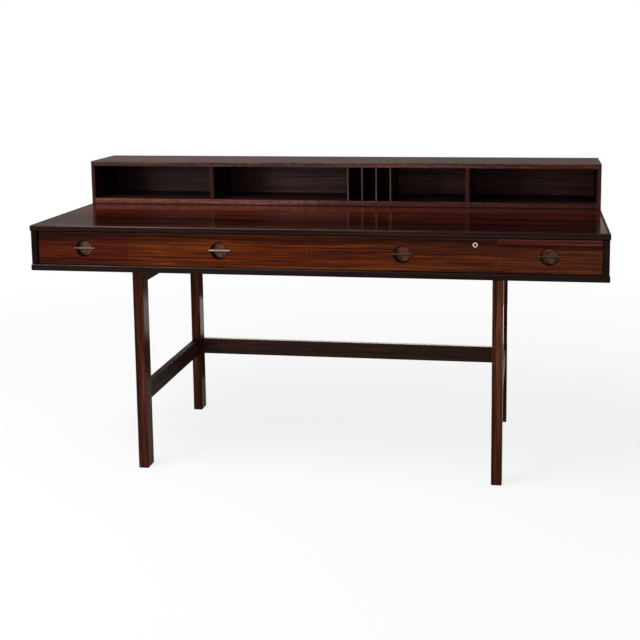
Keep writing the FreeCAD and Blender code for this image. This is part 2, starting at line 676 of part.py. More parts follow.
def leg_frame():
    stretcher_low, stretcher_high = "stretcher_rise", "(stretcher_rise + stretcher_height)"
    rail_low = f"({CASE_UNDER} - rail_height)"
    start, end = f"({LEG_FRONT} + leg_depth)", LEG_REAR
    front_face, rear_face = faces(LEG_REAR_MIDDLE, "stretcher_thickness")
    low = (f"(-{LEG_X} + leg_width / 2)", front_face, stretcher_low)
    high = (f"({LEG_X} - leg_width / 2)", rear_face, stretcher_high)
    long_stretcher, long_tenon = bar_with_tenons("long_stretcher", low, high, "x")
    node(long_stretcher, "long_stretcher")
    screws = []
    for side, middle in (("left", f"(-{LEG_X})"), ("right", LEG_X)):
        left, right = faces(middle, "stretcher_thickness")
        low, high = (left, start, stretcher_low), (right, end, stretcher_high)
        stretcher, low_tenon = bar_with_tenons(f"{side}_side_stretcher", low, high, "y")
        node(stretcher, f"{side}_side_stretcher")
        left, right = faces(middle, "rail_thickness")
        low, high = (left, start, rail_low), (right, end, CASE_UNDER)
        rail, high_tenon = bar_with_tenons(f"{side}_rail", low, high, "y")
        ways = []
        for i in (-1, 0, 1):
            spot = f"(({start} + {end}) / 2 + {i} * frame_screw_spacing)"
            screw, way = frame_screw(f"{side}_frame_screw_{i + 2}", middle, spot)
            screws.append(screw)
            ways += way
        node(cut(f"{side}_rail_bored", rail, ways), f"{side}_top_rail")
        for row, front in (("front", LEG_FRONT), ("rear", LEG_REAR)):
            label = f"{row}_{side}_leg"
            tenons = [low_tenon, high_tenon] + ([long_tenon] if row == "rear" else [])
            node(cut(f"{label}_mortised", leg(f"{label}_post", middle, front), tenons), label)
    node(group("frame_screws", screws), "frame_screws")
    return screws


# Organizer

def shell_board(label, corners):
    """A mitred board of the organizer's shell, its outer edges rounded front and rear."""
    board = body(label, ("0", ORGANIZER_FRONT, "0"))
    section = sketch(board, "XZ_Plane", "section")
    outline(section, corners)
    solid = pad(board, section, "organizer_depth", flip=True)
    ease(board, solid, "organizer_round", is_outer_edge)
    return node(board, label)


def is_outer_edge(edge, whole):
    """Picks the long outer edges of a mitred board, which are longer than its inner ones."""
    across = max(whole.XLength, whole.ZLength)
    return edge.YLength < NEAR and edge.DiagonalLength > across - NEAR


def upright(label, middle, thickness, setback):
    """A divider from the floor of the organizer to its ceiling."""
    left, right = faces(middle, thickness)
    return box(label, (left, f"{ORGANIZER_FRONT} + {setback}", ORGANIZER_FLOOR),
               (right, ORGANIZER_BACK, ORGANIZER_CEILING))


def organizer():
    shell_board("organizer_top", [
        (f"-{HALF}", ORGANIZER_HIGH), (HALF, ORGANIZER_HIGH),
        (ORGANIZER_INNER, ORGANIZER_CEILING), (f"-{ORGANIZER_INNER}", ORGANIZER_CEILING),
    ])
    for side, sign in (("left", "-"), ("right", "")):
        outer, inner = f"{sign}{HALF}", f"{sign}{ORGANIZER_INNER}"
        shell_board(f"organizer_{side}_side", [
            (outer, ORGANIZER_LOW), (inner, ORGANIZER_LOW),
            (inner, ORGANIZER_CEILING), (outer, ORGANIZER_HIGH),
        ])
    back_low = (f"-{ORGANIZER_INNER}", ORGANIZER_BACK, ORGANIZER_FLOOR)
    node(box("organizer_back", back_low, (ORGANIZER_INNER, REAR, ORGANIZER_CEILING)), "organizer_back")

    thick = []
    for side, sign in (("left", "-"), ("right", "")):
        middle = f"({sign}organizer_divider_offset)"
        thick.append(upright(f"{side}_organizer_divider", middle, "organizer_divider_thickness", "0"))
    node(group("organizer_dividers", thick), "organizer_dividers")
    thin = []
    for i in range(PARTITIONS):
        middle = f"(partition_start + {i} * partition_spacing)"
        thin.append(upright(f"letter_partition_{i + 1}", middle, "partition_thickness", "partition_setback"))
    node(group("letter_partitions", thin), "letter_partitions")
    low = (f"-{ORGANIZER_INNER}", ORGANIZER_FRONT, ORGANIZER_LOW)
    return box("organizer_floor", low, (ORGANIZER_INNER, REAR, ORGANIZER_FLOOR))


# Hinges: each leaf is a plate with tabs under its own knuckles, and the knuckles share one pin

def leaf(label, middle, up, own):
    """A hinge leaf. up is 1 above the axis and -1 below it, own lists the knuckles that it carries."""
    plate = body(label, (f"{middle} - hinge_length / 2", AXIS_Y, AXIS_Z))
    front = sketch(plate, "XZ_Plane", "front", "hinge_offset")
    shoulder = f"{up} * {KNUCKLE_ROOM}"
    far = f"{up} * leaf_height"
    crest = []
    for i in range(KNUCKLES):
        start, end = knuckle_ends(i)
        if i in own:
            crest += [(start, "0"), (end, "0")]
        else:
            before = knuckle_ends(i - 1)[1] if i > 0 else start
            after = knuckle_ends(i + 1)[0] if i < KNUCKLES - 1 else end
            crest += [(before, shoulder), (after, shoulder)]
    outline(front, crest + [("hinge_length", far), ("0", far)])
    pad(plate, front, "leaf_thickness")
    for i in own:
        start, end = knuckle_ends(i)
        ring = sketch(plate, "YZ_Plane", f"ring_{i}", start)
        circle(ring, ("0", "0"), "barrel_radius")
        pad(plate, ring, f"({end}) - ({start})")
    bore = sketch(plate, "YZ_Plane", "bore")
    circle(bore, ("0", "0"), "pin_radius + pin_clearance")
    drilled = pad(plate, bore, "hinge_length", flip=True, kind="Pocket")
    drilled.Type = "ThroughAll"
    return plate


def knuckle_ends(i):
    """Where a knuckle starts and ends along its hinge."""
    start = "0" if i == 0 else f"(hinge_length * {i} / {KNUCKLES} + knuckle_gap / 2)"
    end = "hinge_length" if i == KNUCKLES - 1 else f"(hinge_length * {i + 1} / {KNUCKLES} - knuckle_gap / 2)"
    return start, end


def hinge_screw(label, x, up):
    """A countersunk screw through a leaf, driven forward into the wood: its room and the slotted screw."""
    z = f"{AXIS_Z} + {up} * ({KNUCKLE_ROOM} + leaf_height) / 2"
    head = doc.addObject("Part::Cone", f"{label}_head")
    bind(head, "Radius1", "hinge_screw_head_radius")
    bind(head, "Radius2", "hinge_screw_radius")
    bind(head, "Height", "leaf_thickness")
    place(head, (x, REAR, z), ALONG_MINUS_Y)
    shank = rod(f"{label}_shank", "hinge_screw_radius", "hinge_screw_length", (x, REAR, z), ALONG_MINUS_Y)
    room = fuse(label, [head, shank])
    slot = box(f"{label}_slot",
               (f"{x} - hinge_screw_head_radius", f"{REAR} - screw_slot_depth", f"{z} - screw_slot_width / 2"),
               (f"{x} + hinge_screw_head_radius", f"{REAR} + screw_slot_depth", f"{z} + screw_slot_width / 2"))
    return room, cut(f"{label}_slotted", room, [slot])


def hinges():
    """The three hinges, and what has to be cut out of the desktop and the organizer for them."""
    leaves = {1: [], -1: []}
    screws = {1: [], -1: []}
    screw_rooms = {1: [], -1: []}
    rooms = {1: [], -1: []}
    pins = []
    for i, middle in enumerate((f"-{HINGE_X}", "0", HINGE_X), start=1):
        start, end = f"{middle} - hinge_length / 2", f"{middle} + hinge_length / 2"
        pin = rod(f"pin_{i}", "pin_radius", "hinge_length", (start, AXIS_Y, AXIS_Z), ALONG_X)
        heads = [rod(f"pin_{i}_{side}", "pin_head_radius", "pin_head_length", (spot, AXIS_Y, AXIS_Z), ALONG_X)
                 for side, spot in (("left", f"{start} - pin_head_length"), ("right", end))]
        pins.append(fuse(f"hinge_pin_{i}", [pin] + heads))
        for up, name, own in ((-1, "desk", DESK_KNUCKLES), (1, "organizer", ORGANIZER_KNUCKLES)):
            drilled = []
            for j in (-1, 0, 1):
                spot = f"{middle} + {j} * hinge_screw_spacing"
                room, screw = hinge_screw(f"{name}_hinge_{i}_screw_{j + 2}", spot, up)
                drilled.append(room)
                screws[up].append(screw)
            blank = leaf(f"{name}_leaf_{i}", middle, up, own)
            leaves[up].append(cut(f"{name}_leaf_{i}_drilled", blank, drilled))
            screw_rooms[up] += drilled
            barrel = rod(f"{name}_barrel_room_{i}", KNUCKLE_ROOM,
                         "hinge_length + 2 * (pin_head_length + barrel_clearance)",
                         (f"{start} - pin_head_length - barrel_clearance", AXIS_Y, AXIS_Z), ALONG_X)
            low, high = (AXIS_Z, f"{AXIS_Z} + {up} * leaf_height")[::up]
            mortise = box(f"{name}_mortise_{i}", (start, f"{REAR} - leaf_thickness", low), (end, REAR, high))
            rooms[up] += [barrel, mortise]
    node(group("hinge_pins", pins), "hinge_pins")
    for up, name in ((-1, "desk"), (1, "organizer")):
        node(group(f"{name}_leaves", leaves[up]), f"hinge_{name}_leaves")
        node(group(f"{name}_hinge_screws", screws[up]), f"hinge_{name}_screws")
    return rooms, screw_rooms


# Assembly

strips, core = desktop()
slab = case()
runners = [runner for name in DRAWER_NAMES for runner in drawer(name)]
node(group("all_runners", runners), "drawer_runners")
strike_room = lock()
frame_screws = leg_frame()
floor = organizer()
rooms, screw_rooms = hinges()
strips["rear"] = cut("rear_lipping_mortised", strips["rear"], rooms[-1] + screw_rooms[-1])
node(group("edging", list(strips.values())), "desktop_edging")
node(cut("desktop_panel_cut", core, strike_room + screw_rooms[-1]), "desktop_panel")
node(cut("case_bottom_bored", slab, frame_screws), "case_bottom")
node(cut("organizer_floor_mortised", floor, rooms[1] + screw_rooms[1]), "organizer_bottom")
doc.recompute()

for thing in doc.Objects:
    if "Invalid" in thing.State or "Error" in thing.State:
        raise RuntimeError(f"{thing.Label} failed: {thing.State}")
for thing in nodes:
    if thing.Shape.isNull() or not thing.Shape.isValid():
        raise RuntimeError(f"{thing.Label} has no valid shape")

os.makedirs("parts", exist_ok=True)
for thing in nodes:
    thing.Shape.exportStep(f"parts/{thing.Label}.step")
print(len(nodes), "nodes,", sum(len(thing.Shape.Solids) for thing in nodes), "solids")
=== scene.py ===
# Looks of the flip top desk: finishes of its pieces, floor, light and camera.
import math

import bpy
from mathutils import Euler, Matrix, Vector


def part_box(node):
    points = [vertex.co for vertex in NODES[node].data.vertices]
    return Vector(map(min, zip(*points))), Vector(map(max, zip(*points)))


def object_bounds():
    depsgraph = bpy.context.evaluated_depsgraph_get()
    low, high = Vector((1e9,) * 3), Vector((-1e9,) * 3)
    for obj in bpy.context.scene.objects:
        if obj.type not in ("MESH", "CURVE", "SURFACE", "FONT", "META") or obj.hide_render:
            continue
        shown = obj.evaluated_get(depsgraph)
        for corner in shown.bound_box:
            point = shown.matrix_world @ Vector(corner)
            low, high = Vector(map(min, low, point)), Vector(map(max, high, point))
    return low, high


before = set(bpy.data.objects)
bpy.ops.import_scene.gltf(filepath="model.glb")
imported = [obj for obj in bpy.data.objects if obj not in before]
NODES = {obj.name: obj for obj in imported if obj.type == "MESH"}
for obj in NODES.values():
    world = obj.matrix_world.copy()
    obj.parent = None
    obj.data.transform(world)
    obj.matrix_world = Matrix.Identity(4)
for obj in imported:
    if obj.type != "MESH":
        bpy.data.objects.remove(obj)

CAD_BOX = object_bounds()
DRAWERS = range(1, 5)
AXES = "XYZ"

# Places on the desk, in metres
DESK_LEFT, DESK_RIGHT = CAD_BOX[0].x, CAD_BOX[1].x
DESK_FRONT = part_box("desktop_edging")[0].y
DESK_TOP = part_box("desktop_panel")[1].z
FRONTS_LOW, FRONTS_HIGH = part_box("drawer_1_front")[0].z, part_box("drawer_1_front")[1].z
ORGANIZER_LOW, ORGANIZER_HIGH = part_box("organizer_left_side")[0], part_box("organizer_top")[1]

# Widths of lippings, arrises, marks, painted shadows and painted highlights in the finish, in metres
SOFT_EDGE = 0.0004
LIPPING = 0.006
CASE_LIPPING = 0.010
FRONT_LIPPING = 0.003
FRONT_TOP = 0.0022
END_MARGIN = 0.0005
RED_STREAK = 0.024
SKIN = 0.006
ARRIS = 0.0013
TOP_ARRIS = 0.002
BOTTOM_ARRIS = 0.004
JOINT_SHADOW = 0.0028
CONTACT_SHADOW = 0.0028
RIM_REACH, RIM_FADE = 0.0240, 0.0020
CUP_SHADOW_SHIFT = Vector((-0.0015, 0.0, -0.0004))
CUP_FLOOR, CUP_FADE = 0.0026, 0.0012
BAR_SHADE_EDGE = 0.0006
GRIME = 0.0004

# Share of the colour that is left round each drawer's cup by its painted shadow
CUP_SHADOW_SHARES = (0.12, 0.12, 0.28, 0.36)

# Wear and a painted highlight along the front arrises: where they start and end, and how much of them
# there is
TOP_WORN, TOP_KEPT = -0.25, 0.35
BOTTOM_WORN, BOTTOM_KEPT = -0.70, 0.30
LEFT_END, LEFT_END_FADE = -0.75, -0.35
LEFT_END_WEAR = 0.45
KEPT_WEAR = 0.06
WEAR_STEPS = (0.35, 0.6)
LEAST_WEAR = 0.5

# Patterns: share of the scale along the grain, scale, detail and roughness
DRIFT = (0.35, 4.0, 2.0, 0.5)
BANDS = (0.03, 30.0, 4.0, 0.55)
STREAKS = (0.009, 210.0, 5.0, 0.62)
LINES = (0.008, 760.0, 3.0, 0.6)
PORES = (0.03, 2400.0, 2.0, 0.5)
FLECKS = (0.3, 260.0, 3.0, 0.6)
WEAR = (0.1, 60.0, 4.0, 0.6)
CLOUDS = (1.0, 90.0, 5.0, 0.6)
RUBS = (0.15, 2600.0, 3.0, 0.6)

# Figure of the wood: shares of its patterns, steps of its tones, and what lines and pores do
BAND_SHARE, STREAK_SHARE, LINE_SHARE = 0.28, 0.34, 0.38
TONE_STEPS = (0.415, 0.48, 0.525, 0.60)
MIDDLE_NOISE = (0.5, 0.5, 0.5)
NOISE_RANGE = (0.3, 0.7)
WANDER = (0.022, 0.022, 0.022)
PORE_STEPS = (0.56, 0.68)
PORE_DARKNESS = 0.45
LINE_HEIGHT = 0.4
LINE_ROUGHNESS = 0.05
OPEN_PORES = 0.00006
LACQUERED_PORES = 0.000014

# Roughness of the polish
GLOSSY = 0.1
SMOOTH = 0.2
POLISHED = 0.3
WAXED = 0.35
SATIN = 0.4
DULL = 0.45
MATT = 0.5

# Tones of each wood, from its dark lines to its palest streaks
FRONT_TONES = (
    (0.020, 0.004, 0.002), (0.056, 0.009, 0.003), (0.094, 0.017, 0.004), (0.185, 0.045, 0.008),
)
# Thin end lippings of the fronts, painted pale as an arris highlight
FRONT_END_HIGHLIGHT_TONES = (
    (0.030, 0.006, 0.002), (0.085, 0.018, 0.004), (0.125, 0.030, 0.006), (0.190, 0.055, 0.012),
)
# Painted highlight on the upper arris of the drawer fronts
FRONT_TOP_HIGHLIGHT_TONES = (
    (0.080, 0.025, 0.009), (0.130, 0.044, 0.017), (0.165, 0.058, 0.024), (0.205, 0.078, 0.034),
)
TOP_TONES = (
    (0.008, 0.002, 0.002), (0.034, 0.005, 0.003), (0.070, 0.010, 0.004), (0.165, 0.032, 0.007),
)
SHELF_TONES = (
    (0.010, 0.004, 0.003), (0.036, 0.011, 0.008), (0.058, 0.018, 0.013), (0.100, 0.034, 0.022),
)
LIPPING_TONES = (
    (0.030, 0.010, 0.007), (0.075, 0.024, 0.015), (0.115, 0.038, 0.024), (0.190, 0.070, 0.042),
)
PARTITION_TONES = (
    (0.050, 0.026, 0.020), (0.100, 0.058, 0.044), (0.130, 0.078, 0.060), (0.180, 0.115, 0.090),
)
INSIDE_TONES = (
    (0.016, 0.006, 0.006), (0.044, 0.018, 0.017), (0.064, 0.027, 0.026), (0.098, 0.046, 0.042),
)
# Painted shade: a far darker copy of the wood for the inner faces of the pigeonholes
BAY_SHADE_TONES = (
    (0.006, 0.003, 0.003), (0.012, 0.005, 0.006), (0.017, 0.007, 0.008), (0.026, 0.012, 0.012),
)
FRAME_TONES = (
    (0.014, 0.004, 0.003), (0.042, 0.011, 0.007), (0.066, 0.019, 0.010), (0.110, 0.036, 0.019),
)
REAR_FRAME_TONES = (
    (0.008, 0.003, 0.003), (0.026, 0.009, 0.006), (0.042, 0.014, 0.009), (0.070, 0.026, 0.016),
)
# Painted shadow, near black
PAINTED_SHADOW_TONES = (
    (0.001, 0.001, 0.001), (0.002, 0.001, 0.001), (0.003, 0.002, 0.002), (0.004, 0.003, 0.003),
)
EDGE_TONES = (
    (0.007, 0.003, 0.002), (0.011, 0.005, 0.004), (0.014, 0.007, 0.006), (0.021, 0.011, 0.009),
)
EDGING_TONES = (
    (0.009, 0.003, 0.002), (0.014, 0.006, 0.004), (0.018, 0.008, 0.006), (0.026, 0.012, 0.009),
)
# Wear and a painted highlight on the front arrises
WORN_HIGHLIGHT_TONES = (
    (0.060, 0.045, 0.037), (0.110, 0.086, 0.074), (0.150, 0.120, 0.104), (0.210, 0.172, 0.150),
)
LINING_TONES = (
    (0.130, 0.070, 0.036), (0.210, 0.125, 0.066), (0.270, 0.165, 0.090), (0.340, 0.215, 0.125),
)

# Tones of each metal, from its patina to its rubbed parts
CUP_TONES = ((0.085, 0.034, 0.023), (0.230, 0.096, 0.062))
DULL_BRASS_TONES = ((0.105, 0.068, 0.044), (0.175, 0.115, 0.075))
BRASS_TONES = ((0.220, 0.158, 0.112), (0.350, 0.256, 0.188))
BRONZE_TONES = ((0.048, 0.024, 0.017), (0.100, 0.054, 0.040))
NICKEL_TONES = ((0.58, 0.50, 0.42), (0.78, 0.70, 0.60))
RING_TONES = ((0.95, 0.74, 0.65), (1.0, 0.86, 0.79))
PLUG_TONES = ((0.05, 0.03, 0.02), (0.12, 0.08, 0.05))
HINGE_TONES = ((0.36, 0.24, 0.10), (0.62, 0.45, 0.20))
STEEL_TONES = ((0.22, 0.21, 0.20), (0.42, 0.41, 0.40))
# Dark tone for patina and for painted shade on the metal
STAIN_AND_SHADE_TONE = (0.005, 0.0025, 0.0015)
CLOUD_STEPS = (0.35, 0.65)
# Share of the painted shadow of the bar in each cup
BAR_SHADOW_SHARE = 0.25
RUB_DEPTH = 0.00002
RUB_ROUGHNESS = 0.08

# Tint that leaves a colour as it is
PLAIN = (1.0, 1.0, 1.0)


class Graph:
    """Short calls for the nodes of one shader tree."""

    def __init__(self, tree):
        self.tree = tree

    def node(self, kind, **settings):
        node = self.tree.nodes.new("ShaderNode" + kind)
        for name, value in settings.items():
            setattr(node, name, value)
        return node

    def feed(self, socket, value):
        """Links an output to a socket, or sets the socket's own value."""
        if isinstance(value, bpy.types.NodeSocket):
            self.tree.links.new(value, socket)
        elif isinstance(value, tuple) and socket.type == "RGBA":
            socket.default_value = (*value, 1.0)
        else:
            socket.default_value = value

    def math(self, operation, first, second):
        node = self.node("Math", operation=operation)
        self.feed(node.inputs[0], first)
        self.feed(node.inputs[1], second)
        return node.outputs["Value"]

    def vector(self, operation, first, second):
        node = self.node("VectorMath", operation=operation)
        self.feed(node.inputs[0], first)
        self.feed(node.inputs[1], second)
        return node.outputs["Vector"]

    def ramp(self, factor, stops):
        """A colour for each factor, from (position, colour) stops."""
        node = self.node("ValToRGB")
        self.feed(node.inputs["Fac"], factor)
        elements = node.color_ramp.elements
        while len(elements) < len(stops):
            elements.new(1.0)
        for element, (position, colour) in zip(elements, stops):
            element.position = position
            element.color = (*colour, 1.0)
        return node.outputs["Color"]

    def spread(self, value, low, high, to_low=0.0, to_high=1.0):
        """The range low to high of a value, spread over another range."""
        node = self.node("MapRange")
        self.feed(node.inputs["Value"], value)
        self.feed(node.inputs["From Min"], low)
        self.feed(node.inputs["From Max"], high)
        self.feed(node.inputs["To Min"], to_low)
        self.feed(node.inputs["To Max"], to_high)
        return node.outputs["Result"]

    def mix(self, factor, first, second, blend="MIX"):
        node = self.node("Mix", data_type="RGBA", blend_type=blend)
        self.feed(node.inputs["Factor"], factor)
        self.feed(node.inputs["A"], first)
        self.feed(node.inputs["B"], second)
        return node.outputs["Result"]

    def shows_surroundings(self):
        """1 for rays that show the white surroundings, 0 for rays that light the desk."""
        rays = self.node("LightPath").outputs
        seen = self.math("MAXIMUM", rays["Is Camera Ray"], rays["Is Glossy Ray"])
        return self.math("MAXIMUM", seen, rays["Is Transmission Ray"])


class Finish(Graph):
    """A procedural material, placed by the desk's own coordinates."""

    def __init__(self, name):
        self.material = bpy.data.materials.new(name)
        self.material.use_nodes = True
        super().__init__(self.material.node_tree)
        self.shader = self.tree.nodes["Principled BSDF"]
        self.place = self.node("TexCoord").outputs["Object"]
        axes = self.node("SeparateXYZ")
        self.feed(axes.inputs["Vector"], self.place)
        self.axis = axes.outputs

    def surface(self, **sockets):
        """Sets or links the shader's sockets, with _ for a space in their names."""
        for name, value in sockets.items():
            self.feed(self.shader.inputs[name.replace("_", " ")], value)

    def pattern(self, place, grain, share, scale, detail, roughness, output="Fac"):
        """Noise that is drawn out along the grain's axis, where it has a share of its scale."""
        scales = tuple(share if axis == grain else 1.0 for axis in AXES)
        node = self.node("TexNoise")
        self.feed(node.inputs["Vector"], self.vector("MULTIPLY", place, scales))
        self.feed(node.inputs["Scale"], scale)
        self.feed(node.inputs["Detail"], detail)
        self.feed(node.inputs["Roughness"], roughness)
        return node.outputs[output]

    def under(self, axis, limit, soft=SOFT_EDGE):
        """A mask that is 1 under a limit on an axis."""
        return self.spread(self.axis[axis], limit - soft, limit + soft, 1.0, 0.0)

    def over(self, axis, limit, soft=SOFT_EDGE):
        """A mask that is 1 over a limit on an axis."""
        return self.spread(self.axis[axis], limit - soft, limit + soft)

    def drift(self, axis, low, high, stops):
        """A colour that drifts along an axis, from low to high."""
        return self.ramp(self.spread(self.axis[axis], low, high), stops)

    def reach(self, point, axes=(1.0, 1.0, 1.0)):
        """The distance from a point, measured along the given axes."""
        node = self.node("VectorMath", operation="LENGTH")
        away = self.vector("SUBTRACT", self.place, point)
        self.feed(node.inputs[0], self.vector("MULTIPLY", away, axes))
        return node.outputs["Value"]

    def bump(self, height, distance):
        node = self.node("Bump")
        self.feed(node.inputs["Height"], height)
        self.feed(node.inputs["Distance"], distance)
        return node.outputs["Normal"]


def rosewood(name, grain, tones, roughness=WAXED, specular=0.03, zones=(), tints=(), relief=OPEN_PORES):
    """Veneer with bands, streaks, dark lines and open pores that run along one axis.

    A zone is a mask, the tones there and their roughness. A tint multiplies the colour.
    The relief is the depth of the open pores."""
    finish = Finish(name)
    drift = finish.pattern(finish.place, grain, *DRIFT, output="Color")
    wander = finish.vector("MULTIPLY", finish.vector("SUBTRACT", drift, MIDDLE_NOISE), WANDER)
    board = finish.vector("ADD", finish.place, wander)
    bands = finish.pattern(board, grain, *BANDS)
    streaks = finish.pattern(board, grain, *STREAKS)
    lines = finish.pattern(board, grain, *LINES)
    pores = finish.spread(finish.pattern(board, grain, *PORES), *PORE_STEPS)
    figure = finish.math("MULTIPLY", bands, BAND_SHARE)
    figure = finish.math("ADD", figure, finish.math("MULTIPLY", streaks, STREAK_SHARE))
    figure = finish.math("ADD", figure, finish.math("MULTIPLY", lines, LINE_SHARE))
    colour = finish.ramp(figure, tuple(zip(TONE_STEPS, tones)))
    polish = roughness
    for mask, zone_tones, zone_roughness in zones:
        zone = mask(finish)
        colour = finish.mix(zone, colour, finish.ramp(figure, tuple(zip(TONE_STEPS, zone_tones))))
        polish = finish.math("ADD", polish, finish.math("MULTIPLY", zone, zone_roughness - roughness))
    for tint in tints:
        colour = finish.mix(1.0, colour, tint(finish), "MULTIPLY")
    colour = finish.mix(finish.math("MULTIPLY", pores, PORE_DARKNESS), colour, tones[0])
    height = finish.math("SUBTRACT", finish.math("MULTIPLY", lines, LINE_HEIGHT), pores)
    uneven = finish.spread(lines, *NOISE_RANGE, -LINE_ROUGHNESS, LINE_ROUGHNESS)
    finish.surface(
        Base_Color=colour,
        Roughness=finish.math("ADD", polish, uneven),
        Specular_IOR_Level=specular,
        Normal=finish.bump(height, relief),
    )
    return finish


# Tints of the wood
def flitch_and_light_tint(finish):
    """The fronts are reddest at the left and orange by the second drawer, partly the wood's tone and
    partly a painted falloff of light from the left; the dull grey at the right is a painted sheen.
    """
    stops = (
        (0.0, (0.76, 0.58, 0.80)),
        (0.17, (0.82, 0.68, 0.85)),
        (0.21, (1.30, 1.32, 1.00)),
        (0.45, (1.18, 1.15, 0.85)),
        (0.55, (1.05, 1.08, 1.10)),
        (0.66, (0.97, 1.02, 1.20)),
        (0.76, (0.72, 0.84, 1.38)),
        (0.84, (0.70, 0.75, 1.42)),
        (0.95, (0.80, 1.02, 1.75)),
    )
    return finish.drift("X", DESK_LEFT, DESK_RIGHT, stops)


def overhang_shadow_tint(finish):
    """A dark band runs along the top of the fronts: a painted shadow of the desktop's overhang."""
    stops = (
        (0.0, (0.98, 1.00, 1.10)),
        (0.28, (1.26, 1.24, 1.05)),
        (0.48, (1.12, 1.12, 1.00)),
        (0.68, (0.82, 0.84, 0.90)),
        (0.90, (0.52, 0.54, 0.74)),
    )
    return finish.drift("Z", FRONTS_LOW, FRONTS_HIGH, stops)


def red_streak(finish):
    """A red streak over a dark line runs along the top of the fourth front."""
    stops = (
        (0.0, PLAIN),
        (0.16, (0.60, 0.50, 0.60)),
        (0.36, (0.60, 0.50, 0.60)),
        (0.48, (2.80, 2.30, 3.00)),
        (0.86, (2.50, 2.10, 2.80)),
        (1.0, (1.30, 1.10, 1.30)),
    )
    streak = finish.drift("Z", FRONTS_HIGH - RED_STREAK, FRONTS_HIGH, stops)
    return finish.mix(finish.over("X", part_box("drawer_4_front")[0].x), PLAIN, streak)


def painted_cup_shadows(finish):
    """A painted shadow darkens the wood round each cup, most of all at its lower left."""
    shade = PLAIN
    for number, dark in zip(DRAWERS, CUP_SHADOW_SHARES):
        low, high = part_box(f"drawer_{number}_pull_cup")
        stops = ((0.0, (dark, dark, dark)), (1.0, PLAIN))
        middle = (low + high) / 2 + CUP_SHADOW_SHIFT
        reach = finish.reach(tuple(middle), (1.0, 0.0, 1.0))
        rim = finish.ramp(finish.spread(reach, RIM_REACH, RIM_REACH + RIM_FADE), stops)
        shade = finish.mix(1.0, shade, rim, "MULTIPLY")
    return shade


def top_depth(finish):
    """The desktop's veneer is redder at the rear and darker in front."""
    stops = (
        (0.0, (0.52, 0.82, 1.30)),
        (0.30, (0.56, 0.80, 1.18)),
        (0.50, PLAIN),
        (1.0, (0.97, 0.85, 0.78)),
    )
    return finish.drift("Y", DESK_FRONT, ORGANIZER_LOW.y, stops)


def top_length(finish):
    """The desktop's veneer is palest in the middle and darkest at the right."""
    stops = (
        (0.0, (0.85, 0.75, 0.75)),
        (0.35, (1.05, 1.00, 1.05)),
        (0.60, (1.05, 1.05, 1.15)),
        (0.80, (0.70, 0.66, 0.65)),
    )
    return finish.drift("X", DESK_LEFT, DESK_RIGHT, stops)


def shelf_length(finish):
    """The lipping under the pigeonholes is pale at the left and dark at the right."""
    stops = (
        (0.0, (1.95, 1.65, 1.40)),
        (0.35, (1.30, 1.35, 1.60)),
        (0.65, (0.60, 0.52, 0.60)),
        (1.0, (0.48, 0.40, 0.38)),
    )
    return finish.drift("X", DESK_LEFT, DESK_RIGHT, stops)


def rail_length(finish):
    """The lipping over the pigeonholes is palest in the middle and red at the right."""
    stops = ((0.0, (0.70, 0.58, 0.56)), (0.5, (1.70, 2.10, 2.40)), (1.0, (1.58, 1.00, 0.95)))
    length = finish.drift("X", DESK_LEFT, DESK_RIGHT, stops)
    return finish.mix(shelf_lipping(finish), PLAIN, length)


def flecks(finish):
    """Short pale and dark flecks, as in the organizer's lippings."""
    stops = ((0.36, (0.62, 0.58, 0.60)), (0.50, PLAIN), (0.64, (1.55, 1.60, 1.60)))
    spots = finish.ramp(finish.pattern(finish.place, "X", *FLECKS), stops)
    return finish.mix(shelf_lipping(finish), PLAIN, spots)


def painted_bay_light(finish):
    """Painted light makes the board behind the pigeonholes paler in the middle, in pools where light
    falls into the bays.
    """
    stops = (
        (0.18, (0.88, 0.80, 0.84)),
        (0.27, (1.10, 1.00, 1.05)),
        (0.32, (2.10, 2.10, 2.20)),
        (0.42, (1.40, 1.50, 1.55)),
        (0.52, (1.40, 1.50, 1.55)),
        (0.62, (3.00, 2.90, 3.20)),
        (0.69, (2.60, 2.30, 2.60)),
        (0.75, (1.55, 1.02, 1.10)),
        (0.95, (1.10, 0.88, 0.90)),
    )
    low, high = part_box("organizer_back")
    inside = finish.under("Y", (low.y + high.y) / 2)
    return finish.mix(inside, PLAIN, finish.drift("X", DESK_LEFT, DESK_RIGHT, stops))


def stile_tint(finish):
    """The case's left side is darker than its right side."""
    stops = ((0.0, (0.40, 0.30, 0.30)), (1.0, (0.95, 1.05, 1.05)))
    return finish.drift("X", DESK_LEFT, DESK_RIGHT, stops)


def leg_depth(finish):
    """The front left leg is paler than the legs at the rear."""
    stops = ((0.0, (1.22, 1.28, 1.30)), (1.0, (0.88, 0.84, 0.80)))
    return finish.drift("Y", DESK_FRONT, -DESK_FRONT, stops)


def leg_painted_light(finish):
    """The front right leg is paler at its top, as painted light where the case shades it."""
    stops = ((0.15, (0.76, 0.71, 0.66)), (0.45, (1.40, 1.50, 1.35)), (0.95, (2.20, 2.60, 2.10)))
    return finish.drift("Z", 0.0, FRONTS_LOW, stops)


# Masks for zones of the wood
def case_lipping(finish):
    """Front lippings of the case's sides."""
    return finish.under("Y", DESK_FRONT + CASE_LIPPING)


def shelf_lipping(finish):
    """Front lippings of the organizer's boards."""
    return finish.under("Y", ORGANIZER_LOW.y + LIPPING)


def shelf_underside(finish):
    """The organizer's underside, which is part of the desktop when it is flipped back."""
    return finish.under("Z", ORGANIZER_LOW.z + ARRIS)


def outside(finish):
    """Outer faces of the organizer's sides and top."""
    left = finish.under("X", ORGANIZER_LOW.x + SKIN)
    right = finish.over("X", ORGANIZER_HIGH.x - SKIN)
    top = finish.over("Z", ORGANIZER_HIGH.z - SKIN)
    return finish.math("MAXIMUM", finish.math("ADD", left, right), top)


